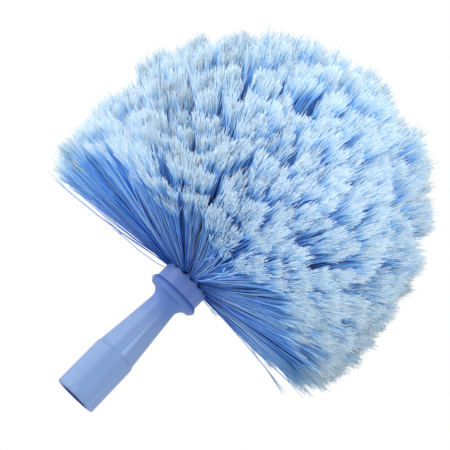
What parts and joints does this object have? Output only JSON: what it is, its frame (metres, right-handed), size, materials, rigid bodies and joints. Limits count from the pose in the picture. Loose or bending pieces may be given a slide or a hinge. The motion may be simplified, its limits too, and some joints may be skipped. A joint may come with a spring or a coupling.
{
  "type": "cobweb brush",
  "caption": "Domed cobweb brush head: soft flagged plastic tufts fan out of a small dome on a moulded pole socket, and splay and spring back when pressed on a wall or ceiling.",
  "frame": {"origin": "centre of the pole socket's mouth, on the socket's axis", "axes": "+Z along the socket's axis, from the mouth to the crown of the bristles; one of the three ribs on the taper lies on +X"},
  "size_m": [0.206, 0.206, 0.2519],
  "materials": {
    "socket_plastic": "moulded, soft gloss",
    "dome_plastic": "moulded, soft gloss",
    "bristle": "blue filament with pale split tips",
    "drawing_wire": "bright drawn wire"
  },
  "bodies": {
    "head": {"pole_socket": "socket_plastic", "tuft_dome": "dome_plastic", "tuft_roots": "bristle", "crown_wire": "drawing_wire", "ring_wire_1": "drawing_wire", "ring_wire_2": "drawing_wire", "ring_wire_3": "drawing_wire", "tuft_crown": "bristle"},
    "tuft_ring_1_01": {"tuft_ring_1_01": "bristle"},
    "tuft_ring_1_02": {"tuft_ring_1_02": "bristle"},
    "tuft_ring_1_03": {"tuft_ring_1_03": "bristle"},
    "tuft_ring_1_04": {"tuft_ring_1_04": "bristle"},
    "tuft_ring_1_05": {"tuft_ring_1_05": "bristle"},
    "tuft_ring_1_06": {"tuft_ring_1_06": "bristle"},
    "tuft_ring_2_01": {"tuft_ring_2_01": "bristle"},
    "tuft_ring_2_02": {"tuft_ring_2_02": "bristle"},
    "tuft_ring_2_03": {"tuft_ring_2_03": "bristle"},
    "tuft_ring_2_04": {"tuft_ring_2_04": "bristle"},
    "tuft_ring_2_05": {"tuft_ring_2_05": "bristle"},
    "tuft_ring_2_06": {"tuft_ring_2_06": "bristle"},
    "tuft_ring_2_07": {"tuft_ring_2_07": "bristle"},
    "tuft_ring_2_08": {"tuft_ring_2_08": "bristle"},
    "tuft_ring_2_09": {"tuft_ring_2_09": "bristle"},
    "tuft_ring_2_10": {"tuft_ring_2_10": "bristle"},
    "tuft_ring_2_11": {"tuft_ring_2_11": "bristle"},
    "tuft_ring_3_01": {"tuft_ring_3_01": "bristle"},
    "tuft_ring_3_02": {"tuft_ring_3_02": "bristle"},
    "tuft_ring_3_03": {"tuft_ring_3_03": "bristle"},
    "tuft_ring_3_04": {"tuft_ring_3_04": "bristle"},
    "tuft_ring_3_05": {"tuft_ring_3_05": "bristle"},
    "tuft_ring_3_06": {"tuft_ring_3_06": "bristle"},
    "tuft_ring_3_07": {"tuft_ring_3_07": "bristle"},
    "tuft_ring_3_08": {"tuft_ring_3_08": "bristle"},
    "tuft_ring_3_09": {"tuft_ring_3_09": "bristle"},
    "tuft_ring_3_10": {"tuft_ring_3_10": "bristle"},
    "tuft_ring_3_11": {"tuft_ring_3_11": "bristle"},
    "tuft_ring_3_12": {"tuft_ring_3_12": "bristle"},
    "tuft_ring_3_13": {"tuft_ring_3_13": "bristle"},
    "tuft_ring_3_14": {"tuft_ring_3_14": "bristle"}
  },
  "joints": [
    {"name": "bristle_splay", "type": "hinge", "parent": "head", "child": "tuft_ring_3_01", "pos_m": [0.01379, 0, 0.09538], "axis": [0, 1, 0], "range_deg": [0, 18], "stiffness_Nm_per_rad": 0.05, "springref_deg": -8.59},
    {"name": "splay_ring_1_01", "type": "hinge", "parent": "head", "child": "tuft_ring_1_01", "pos_m": [0.0059, 0, 0.10415], "axis": [0, 1, 0], "range_deg": [0, 6], "stiffness_Nm_per_rad": 0.05, "springref_deg": -8.59},
    {"name": "splay_ring_1_02", "type": "hinge", "parent": "head", "child": "tuft_ring_1_02", "pos_m": [0.00295, 0.00511, 0.10415], "axis": [-0.866, 0.5, 0], "range_deg": [0, 6], "stiffness_Nm_per_rad": 0.05, "springref_deg": -8.59},
    {"name": "splay_ring_1_03", "type": "hinge", "parent": "head", "child": "tuft_ring_1_03", "pos_m": [-0.00295, 0.00511, 0.10415], "axis": [-0.866, -0.5, 0], "range_deg": [0, 6], "stiffness_Nm_per_rad": 0.05, "springref_deg": -8.59},
    {"name": "splay_ring_1_04", "type": "hinge", "parent": "head", "child": "tuft_ring_1_04", "pos_m": [-0.0059, 0, 0.10415], "axis": [0, -1, 0], "range_deg": [0, 6], "stiffness_Nm_per_rad": 0.05, "springref_deg": -8.59},
    {"name": "splay_ring_1_05", "type": "hinge", "parent": "head", "child": "tuft_ring_1_05", "pos_m": [-0.00295, -0.00511, 0.10415], "axis": [0.866, -0.5, 0], "range_deg": [0, 6], "stiffness_Nm_per_rad": 0.05, "springref_deg": -8.59},
    {"name": "splay_ring_1_06", "type": "hinge", "parent": "head", "child": "tuft_ring_1_06", "pos_m": [0.00295, -0.00511, 0.10415], "axis": [0.866, 0.5, 0], "range_deg": [0, 6], "stiffness_Nm_per_rad": 0.05, "springref_deg": -8.59},
    {"name": "splay_ring_2_01", "type": "hinge", "parent": "head", "child": "tuft_ring_2_01", "pos_m": [0.01078, 0, 0.1006], "axis": [0, 1, 0], "range_deg": [0, 12], "stiffness_Nm_per_rad": 0.05, "springref_deg": -8.59},
    {"name": "splay_ring_2_02", "type": "hinge", "parent": "head", "child": "tuft_ring_2_02", "pos_m": [0.00907, 0.00583, 0.1006], "axis": [-0.5406, 0.8413, 0], "range_deg": [0, 12], "stiffness_Nm_per_rad": 0.05, "springref_deg": -8.59},
    {"name": "splay_ring_2_03", "type": "hinge", "parent": "head", "child": "tuft_ring_2_03", "pos_m": [0.00448, 0.0098, 0.1006], "axis": [-0.9096, 0.4154, 0], "range_deg": [0, 12], "stiffness_Nm_per_rad": 0.05, "springref_deg": -8.59},
    {"name": "splay_ring_2_04", "type": "hinge", "parent": "head", "child": "tuft_ring_2_04", "pos_m": [-0.00153, 0.01067, 0.1006], "axis": [-0.9898, -0.1423, 0], "range_deg": [0, 12], "stiffness_Nm_per_rad": 0.05, "springref_deg": -8.59},
    {"name": "splay_ring_2_05", "type": "hinge", "parent": "head", "child": "tuft_ring_2_05", "pos_m": [-0.00706, 0.00814, 0.1006], "axis": [-0.7557, -0.6549, 0], "range_deg": [0, 12], "stiffness_Nm_per_rad": 0.05, "springref_deg": -8.59},
    {"name": "splay_ring_2_06", "type": "hinge", "parent": "head", "child": "tuft_ring_2_06", "pos_m": [-0.01034, 0.00304, 0.1006], "axis": [-0.2817, -0.9595, 0], "range_deg": [0, 12], "stiffness_Nm_per_rad": 0.05, "springref_deg": -8.59},
    {"name": "splay_ring_2_07", "type": "hinge", "parent": "head", "child": "tuft_ring_2_07", "pos_m": [-0.01034, -0.00304, 0.1006], "axis": [0.2817, -0.9595, 0], "range_deg": [0, 12], "stiffness_Nm_per_rad": 0.05, "springref_deg": -8.59},
    {"name": "splay_ring_2_08", "type": "hinge", "parent": "head", "child": "tuft_ring_2_08", "pos_m": [-0.00706, -0.00814, 0.1006], "axis": [0.7557, -0.6549, 0], "range_deg": [0, 12], "stiffness_Nm_per_rad": 0.05, "springref_deg": -8.59},
    {"name": "splay_ring_2_09", "type": "hinge", "parent": "head", "child": "tuft_ring_2_09", "pos_m": [-0.00153, -0.01067, 0.1006], "axis": [0.9898, -0.1423, 0], "range_deg": [0, 12], "stiffness_Nm_per_rad": 0.05, "springref_deg": -8.59},
    {"name": "splay_ring_2_10", "type": "hinge", "parent": "head", "child": "tuft_ring_2_10", "pos_m": [0.00448, -0.0098, 0.1006], "axis": [0.9096, 0.4154, 0], "range_deg": [0, 12], "stiffness_Nm_per_rad": 0.05, "springref_deg": -8.59},
    {"name": "splay_ring_2_11", "type": "hinge", "parent": "head", "child": "tuft_ring_2_11", "pos_m": [0.00907, -0.00583, 0.1006], "axis": [0.5406, 0.8413, 0], "range_deg": [0, 12], "stiffness_Nm_per_rad": 0.05, "springref_deg": -8.59},
    {"name": "splay_ring_3_02", "type": "hinge", "parent": "head", "child": "tuft_ring_3_02", "pos_m": [0.01242, 0.00598, 0.09538], "axis": [-0.4339, 0.901, 0], "range_deg": [0, 18], "stiffness_Nm_per_rad": 0.05, "springref_deg": -8.59},
    {"name": "splay_ring_3_03", "type": "hinge", "parent": "head", "child": "tuft_ring_3_03", "pos_m": [0.0086, 0.01078, 0.09538], "axis": [-0.7818, 0.6235, 0], "range_deg": [0, 18], "stiffness_Nm_per_rad": 0.05, "springref_deg": -8.59},
    {"name": "splay_ring_3_04", "type": "hinge", "parent": "head", "child": "tuft_ring_3_04", "pos_m": [0.00307, 0.01344, 0.09538], "axis": [-0.9749, 0.2225, 0], "range_deg": [0, 18], "stiffness_Nm_per_rad": 0.05, "springref_deg": -8.59},
    {"name": "splay_ring_3_05", "type": "hinge", "parent": "head", "child": "tuft_ring_3_05", "pos_m": [-0.00307, 0.01344, 0.09538], "axis": [-0.9749, -0.2225, 0], "range_deg": [0, 18], "stiffness_Nm_per_rad": 0.05, "springref_deg": -8.59},
    {"name": "splay_ring_3_06", "type": "hinge", "parent": "head", "child": "tuft_ring_3_06", "pos_m": [-0.0086, 0.01078, 0.09538], "axis": [-0.7818, -0.6235, 0], "range_deg": [0, 18], "stiffness_Nm_per_rad": 0.05, "springref_deg": -8.59},
    {"name": "splay_ring_3_07", "type": "hinge", "parent": "head", "child": "tuft_ring_3_07", "pos_m": [-0.01242, 0.00598, 0.09538], "axis": [-0.4339, -0.901, 0], "range_deg": [0, 18], "stiffness_Nm_per_rad": 0.05, "springref_deg": -8.59},
    {"name": "splay_ring_3_08", "type": "hinge", "parent": "head", "child": "tuft_ring_3_08", "pos_m": [-0.01379, 0, 0.09538], "axis": [0, -1, 0], "range_deg": [0, 18], "stiffness_Nm_per_rad": 0.05, "springref_deg": -8.59},
    {"name": "splay_ring_3_09", "type": "hinge", "parent": "head", "child": "tuft_ring_3_09", "pos_m": [-0.01242, -0.00598, 0.09538], "axis": [0.4339, -0.901, 0], "range_deg": [0, 18], "stiffness_Nm_per_rad": 0.05, "springref_deg": -8.59},
    {"name": "splay_ring_3_10", "type": "hinge", "parent": "head", "child": "tuft_ring_3_10", "pos_m": [-0.0086, -0.01078, 0.09538], "axis": [0.7818, -0.6235, 0], "range_deg": [0, 18], "stiffness_Nm_per_rad": 0.05, "springref_deg": -8.59},
    {"name": "splay_ring_3_11", "type": "hinge", "parent": "head", "child": "tuft_ring_3_11", "pos_m": [-0.00307, -0.01344, 0.09538], "axis": [0.9749, -0.2225, 0], "range_deg": [0, 18], "stiffness_Nm_per_rad": 0.05, "springref_deg": -8.59},
    {"name": "splay_ring_3_12", "type": "hinge", "parent": "head", "child": "tuft_ring_3_12", "pos_m": [0.00307, -0.01344, 0.09538], "axis": [0.9749, 0.2225, 0], "range_deg": [0, 18], "stiffness_Nm_per_rad": 0.05, "springref_deg": -8.59},
    {"name": "splay_ring_3_13", "type": "hinge", "parent": "head", "child": "tuft_ring_3_13", "pos_m": [0.0086, -0.01078, 0.09538], "axis": [0.7818, 0.6235, 0], "range_deg": [0, 18], "stiffness_Nm_per_rad": 0.05, "springref_deg": -8.59},
    {"name": "splay_ring_3_14", "type": "hinge", "parent": "head", "child": "tuft_ring_3_14", "pos_m": [0.01242, -0.00598, 0.09538], "axis": [0.4339, 0.901, 0], "range_deg": [0, 18], "stiffness_Nm_per_rad": 0.05, "springref_deg": -8.59}
  ],
  "couplings": [
    {"joint": "splay_ring_1_01", "follows": "bristle_splay", "ratio": 0.33333},
    {"joint": "splay_ring_1_02", "follows": "bristle_splay", "ratio": 0.33333},
    {"joint": "splay_ring_1_03", "follows": "bristle_splay", "ratio": 0.33333},
    {"joint": "splay_ring_1_04", "follows": "bristle_splay", "ratio": 0.33333},
    {"joint": "splay_ring_1_05", "follows": "bristle_splay", "ratio": 0.33333},
    {"joint": "splay_ring_1_06", "follows": "bristle_splay", "ratio": 0.33333},
    {"joint": "splay_ring_2_01", "follows": "bristle_splay", "ratio": 0.66667},
    {"joint": "splay_ring_2_02", "follows": "bristle_splay", "ratio": 0.66667},
    {"joint": "splay_ring_2_03", "follows": "bristle_splay", "ratio": 0.66667},
    {"joint": "splay_ring_2_04", "follows": "bristle_splay", "ratio": 0.66667},
    {"joint": "splay_ring_2_05", "follows": "bristle_splay", "ratio": 0.66667},
    {"joint": "splay_ring_2_06", "follows": "bristle_splay", "ratio": 0.66667},
    {"joint": "splay_ring_2_07", "follows": "bristle_splay", "ratio": 0.66667},
    {"joint": "splay_ring_2_08", "follows": "bristle_splay", "ratio": 0.66667},
    {"joint": "splay_ring_2_09", "follows": "bristle_splay", "ratio": 0.66667},
    {"joint": "splay_ring_2_10", "follows": "bristle_splay", "ratio": 0.66667},
    {"joint": "splay_ring_2_11", "follows": "bristle_splay", "ratio": 0.66667},
    {"joint": "splay_ring_3_02", "follows": "bristle_splay", "ratio": 1},
    {"joint": "splay_ring_3_03", "follows": "bristle_splay", "ratio": 1},
    {"joint": "splay_ring_3_04", "follows": "bristle_splay", "ratio": 1},
    {"joint": "splay_ring_3_05", "follows": "bristle_splay", "ratio": 1},
    {"joint": "splay_ring_3_06", "follows": "bristle_splay", "ratio": 1},
    {"joint": "splay_ring_3_07", "follows": "bristle_splay", "ratio": 1},
    {"joint": "splay_ring_3_08", "follows": "bristle_splay", "ratio": 1},
    {"joint": "splay_ring_3_09", "follows": "bristle_splay", "ratio": 1},
    {"joint": "splay_ring_3_10", "follows": "bristle_splay", "ratio": 1},
    {"joint": "splay_ring_3_11", "follows": "bristle_splay", "ratio": 1},
    {"joint": "splay_ring_3_12", "follows": "bristle_splay", "ratio": 1},
    {"joint": "splay_ring_3_13", "follows": "bristle_splay", "ratio": 1},
    {"joint": "splay_ring_3_14", "follows": "bristle_splay", "ratio": 1}
  ]
}
